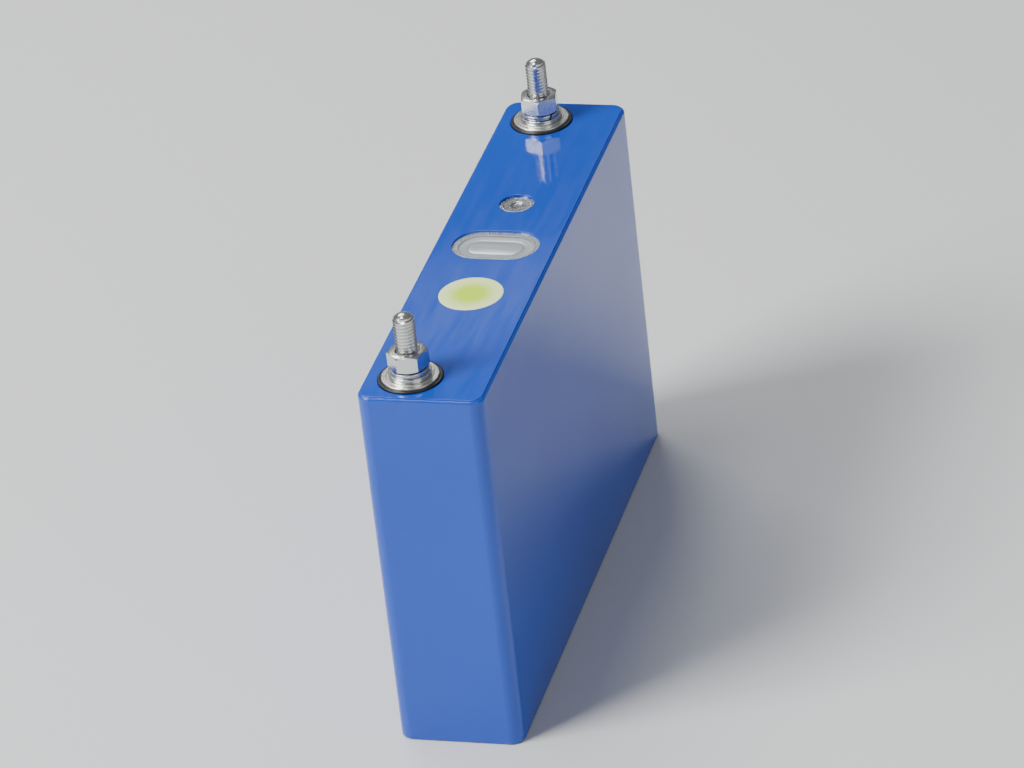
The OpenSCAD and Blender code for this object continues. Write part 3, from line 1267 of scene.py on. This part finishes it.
        # Turned on a lathe and nickel plated, so its face shows fine rings and a warm, soft shine
        plate = WorkedMetal(
            f"turned_nickel_plate_{self.polarity.value}",
            colour="E8E6E0",
            dulled="D3D1CB",
            lay=Lay.TURNED,
            line=0.22,
            bright=0.22,
            dull=0.42,
            centre=(self.hub.x, self.hub.y),
        )
        self._make("post", bm, plate)

    def _stud(self) -> None:
        """Build the stud by winding one pitch of its thread up the axis, and round its tip."""
        low, high = self._box("stud")
        root_r, crest_r = self.thread_r - self.root_depth, self.thread_r
        start = low.z - self.run_in_turns * self.pitch
        turns = math.ceil((high.z - start) / self.pitch) + 1
        flank = (1 - self.root_flat - self.crest_flat) / 2
        shape = [
            (root_r, 0.0),
            (root_r, self.root_flat),
            (crest_r, self.root_flat + flank),
            (crest_r, self.root_flat + flank + self.crest_flat),
            (root_r, 1.0),
        ]
        bm = bmesh.new()
        section = [Vector((r, 0, start + share * self.pitch)) * MM for r, share in shape]
        verts = [bm.verts.new(self.axis + place) for place in section]
        edges = [bm.edges.new(pair) for pair in zip(verts, verts[1:])]
        bmesh.ops.spin(
            bm,
            geom=verts + edges,
            cent=self.axis,
            axis=UP,
            dvec=UP * self.pitch * MM / self.turn_steps,
            angle=2 * math.pi,
            steps=self.turn_steps,
        )
        one_turn = bm.verts[:] + bm.edges[:] + bm.faces[:]
        for turn in range(1, turns):
            copied = bmesh.ops.duplicate(bm, geom=one_turn)["geom"]
            raised = [item for item in copied if isinstance(item, BMVert)]
            bmesh.ops.translate(bm, verts=raised, vec=UP * turn * self.pitch * MM)
        bmesh.ops.remove_doubles(bm, verts=bm.verts, dist=MERGE)
        cut(bm, low, -UP, keep_below=True)
        cut(bm, high - UP * self.tip_flat, UP, keep_below=True)
        self._round_tip(bm, high.z)
        crown = max(close_holes(bm), key=lambda face: face.calc_center_median().z)
        for vert in bmesh.ops.poke(bm, faces=[crown])["verts"]:
            vert.co = self.axis + UP * high.z * MM
        self._make("stud", bm, self.steel)

    def _round_tip(self, bm: BMesh, top: float) -> None:
        """Bring the thread in under the stud's dome.

        Args:
            bm: The stud's mesh.
            top: Height of the stud's top.
        """
        dome_r = (self.thread_r**2 + self.tip_h**2) / (2 * self.tip_h)
        for vert in bm.verts:
            rise = vert.co.z / MM - (top - dome_r)
            limit = math.sqrt(max(dome_r**2 - rise**2, 0.0)) if rise > 0 else self.thread_r
            away = (vert.co - self.axis).xy.length / MM
            if away > limit:
                vert.co.xy = self.axis.xy + (vert.co.xy - self.axis.xy) * limit / away

    def _flat_washer(self) -> None:
        """Build the stamped flat washer, rounded most on the side that the punch entered."""
        low, high = self._box("flat_washer")
        radius = (high.x - low.x) / 2
        bore_r = self.thread_r + self.bore_gap
        places = [(bore_r, low.z), (radius, low.z), (radius, high.z), (bore_r, high.z)]
        section = [(*place, edge) for place, edge in zip(places, self.washer_edges)]
        bm = bmesh.new()
        turned(bm, section, self.hub)
        body = f"{self.polarity.value}_washers"
        self._make("flat_washer", bm, self.steel, body)

    def _spring_washer(self) -> None:
        """Build the split spring washer as one short turn of a spring, nearly flat."""
        low, high = self._box("spring_washer")
        radius = max(high.x - low.x, high.y - low.y) / 2
        bore_r = self.thread_r + self.bore_gap
        top = high.z - self.spring_lift
        places = [(bore_r, low.z), (radius, low.z), (radius, top), (bore_r, top)]
        bm = bmesh.new()
        turned(
            bm,
            [(*place, self.spring_edge) for place in places],
            self.hub,
            turn=math.radians(360 - self.split_deg),
            rise=self.spring_lift,
            steps=self.spring_steps,
        )
        close_holes(bm)
        middle = (low.z + top) / 2
        mean_r = (radius + bore_r) / 2
        for vert in bm.verts:
            lean = math.tan(math.radians(self.split_lean)) * (vert.co.z / MM - middle) / mean_r
            turn = Quaternion(UP, math.radians(self.split_turn) + lean)
            vert.co = self.axis + turn @ (vert.co - self.axis)
        body = f"{self.polarity.value}_washers"
        self._make("spring_washer", bm, self.spring, body)

    def _nut(self) -> None:
        """Build the hexagon nut: a prism with its ends chamfered by a cone, then bored through."""
        low, high = self._box("nut")
        place = Matrix.Translation(Vector((self.hub.x, self.hub.y, low.z)) * MM)
        place @= Matrix.Rotation(math.radians(self.nut_turn + self.first_corner), 4, "Z")
        bm = bmesh.new()
        bmesh.ops.create_circle(
            bm, cap_ends=True, segments=6, radius=self.flats / math.sqrt(3) * MM, matrix=place
        )
        thicken(bm, bm.faces[:], high.z - low.z)
        bmesh.ops.recalc_face_normals(bm, faces=bm.faces)
        rounded(bm, upright_edges(bm), self.corner_edge, self.corner_steps)
        tilt = math.radians(self.chamfer_angle)
        for side, end in ((-1, low.z), (1, high.z)):
            for step in range(self.chamfer_steps):
                around = Quaternion(UP, 2 * math.pi * step / self.chamfer_steps)
                outward = around @ Vector((1, 0, 0))
                facing = outward * math.sin(tilt) + UP * side * math.cos(tilt)
                edge = Vector((self.hub.x, self.hub.y, end)) + outward * self.land_r
                cut(bm, edge, facing, keep_below=True)
                close_holes(bm)
        bmesh.ops.recalc_face_normals(bm, faces=bm.faces)
        bore_r = self.thread_r + self.running_gap
        land_w = self.land_r - bore_r - self.nut_sink
        mouths = []
        for side in (-1, 1):
            mouth = end_face(bm, side)
            inset(bm, mouth, [(land_w, 0.0), (self.nut_sink, -self.nut_sink)])
            mouths.append(mouth)
        loops = [edge for mouth in mouths for edge in mouth.edges]
        bmesh.ops.delete(bm, geom=mouths, context="FACES_ONLY")
        bmesh.ops.bridge_loops(bm, edges=loops)
        self._make("nut", bm, self.steel, f"{self.polarity.value}_nut")


@dataclass
class Inside:
    """The CAD nodes that keep their own shapes: the can, the lid and what is sealed inside."""

    def build(self) -> None:
        """Give each of the nodes its finish."""
        # Deep-drawn: upright lines that smear each highlight up and down
        can = WorkedMetal("drawn_aluminium", colour="C6C8CA", dulled="A8ABAE", lay=Lay.DRAWN, line=0.3)
        # Cut from rolled sheet: bright, with faint lines along the lid
        lid = WorkedMetal(
            "rolled_aluminium", colour="CDCFD1", dulled="B2B4B7", lay=Lay.ROLLED, line=0.3, bright=0.22
        )
        # Rolled strip and foil: warm, and bright where the rolls polished it
        copper = WorkedMetal("rolled_copper", colour="C98A62", dulled="A96B48", lay=Lay.ROLLED, line=0.3)
        # Graphite coating: matt and nearly black, with a fine grain
        foil = Moulded("coated_electrode_foil", colour="3A3B3D", shade="2B2C2E", grain=0.2, roughness=0.6)
        # Unfilled plastic from a mould: milky white with a soft sheen
        white = Moulded("moulded_polypropylene", colour="E4E4E0", shade="D5D5D0", roughness=0.45)
        # The same plastic as thin film: bluer and shinier
        pale = Moulded("thin_polypropylene_film", colour="C9D6E0", shade="BCCAD6", roughness=0.3)
        # Rubber: matt black, from a blasted mould
        rubber = Moulded("moulded_fluororubber", colour="1B1B1C", shade="131314", roughness=0.6, grain=0.5)
        # Polyimide tape: smooth, glossy amber
        tape = Moulded("amber_polyimide_tape", colour="C7821E", shade="B37014", roughness=0.25, grain=1.2)
        dressed = {
            can: ["can", "positive_collector", "positive_tabs"],
            lid: ["lid_plate"],
            copper: ["negative_collector", "negative_tabs"],
            foil: ["left_roll", "right_roll"],
            white: ["lower_insulator", "bottom_tray"],
            pale: ["inner_bag"],
            rubber: ["positive_seal", "negative_seal", "fill_pin"],
            tape: ["left_roll_tapes", "right_roll_tapes"],
        }
        for finish, nodes in dressed.items():
            for node in nodes:
                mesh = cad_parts[node].data
                mesh.materials.clear()
                mesh.materials.append(finish.material())
                log.info("%s: kept from the frame, in %s", node, finish.name)


@dataclass(frozen=True)
class Lamp:
    """A rectangular soft light, in metres and watts."""

    name: str
    place: tuple[float, float, float]
    width: float
    height: float
    power: float


@dataclass
class Studio:
    """A pale floor, soft lights and the camera, in metres, apart from the lens."""

    # The floor lies a hair below the cell's base, so that the two never share a plane
    floor_size: float = 12.0
    floor_gap: float = 0.00005
    aim: tuple[float, float, float] = (0.0, 0.0, 0.06)
    sky: float = 0.22
    sky_colour: str = "E9EDF2"
    lamps: tuple[Lamp, ...] = (
        Lamp("key", (-1.1, -0.9, 1.4), 0.8, 0.8, 56.0),
        Lamp("overhead", (-0.4, 0.0, 1.9), 0.4, 0.4, 5.0),
        Lamp("back", (-0.75, 1.1, 1.6), 0.9, 0.5, 12.0),
        Lamp("band", (-0.555, 1.76, 1.16), 1.2, 0.06, 0.16),
        Lamp("fill", (1.5, -1.3, 0.9), 1.2, 1.2, 9.0),
    )
    # The camera: its angles in degrees, its distance from the cell, and its lens in millimetres
    azimuth: float = 17.6
    elevation: float = 30.0
    roll: float = -6.7
    distance: float = 1.7
    lens: float = 212.0

    def build(self) -> None:
        """Build the floor, the lights and the camera."""
        self._floor()
        for lamp in self.lamps:
            self._light(lamp)
        world = bpy.data.worlds.new("studio")
        world.use_nodes = True
        sky = world.node_tree.nodes["Background"]
        sky.inputs["Color"].default_value = linear(self.sky_colour)
        sky.inputs["Strength"].default_value = self.sky
        bpy.context.scene.world = world
        self._camera()

    def _floor(self) -> None:
        """Build the plain floor, which isn't part of the object."""
        bm = bmesh.new()
        bmesh.ops.create_grid(bm, x_segments=1, y_segments=1, size=self.floor_size / 2)
        mesh = bpy.data.meshes.new("floor")
        bm.to_mesh(mesh)
        bm.free()
        # Matt, so that it shows soft shadows and no mirror images
        paint = Moulded(
            "pale_floor_paint", colour="E2E3E3", shade="DCDDDD", cloud=900.0, grain=3.0, roughness=0.6
        )
        mesh.materials.append(paint.material())
        floor = bpy.data.objects.new("floor", mesh)
        floor.location.z = -self.floor_gap
        bpy.context.scene.collection.objects.link(floor)

    def _light(self, lamp: Lamp) -> None:
        """Build one soft light that points at the cell.

        Args:
            lamp: What it is and where it stands.
        """
        panel = bpy.data.lights.new(lamp.name, "AREA")
        panel.shape = "RECTANGLE"
        panel.size, panel.size_y = lamp.width, lamp.height
        panel.energy = lamp.power
        light = bpy.data.objects.new(lamp.name, panel)
        light.location = lamp.place
        light.rotation_euler = (Vector(lamp.place) - Vector(self.aim)).to_track_quat("Z", "Y").to_euler()
        bpy.context.scene.collection.objects.link(light)

    def _camera(self) -> None:
        """Build the camera, aimed at the middle of the cell."""
        camera = bpy.data.objects.new("camera", bpy.data.cameras.new("camera"))
        low, high = CAD_BOX
        a, e = math.radians(self.azimuth), math.radians(self.elevation)
        back = Vector((math.sin(a) * math.cos(e), -math.cos(a) * math.cos(e), math.sin(e)))
        camera.location = (low + high) / 2 + back * self.distance
        camera.rotation_mode = "QUATERNION"
        facing = back.to_track_quat("Z", "Y")
        camera.rotation_quaternion = facing @ Quaternion(UP, math.radians(self.roll))
        camera.data.lens = self.lens
        bpy.context.scene.collection.objects.link(camera)
        bpy.context.scene.camera = camera


def main() -> None:
    """Build the studio and every sub-assembly."""
    logging.basicConfig(level=logging.INFO, format="%(name)s: %(message)s")
    Studio().build()
    Wrap().build()
    Vent().build()
    FillPlug().build()
    welds = Welds()
    welds.round_node("vent_weld", "vent_plate")
    welds.round_node("fill_cap_weld", "fill_cap")
    Terminal(Polarity.POSITIVE, nut_turn=12.0, split_turn=205.0).build()
    Terminal(Polarity.NEGATIVE, nut_turn=41.0, split_turn=320.0).build()
    Inside().build()


if __name__ == "__main__":
    main()
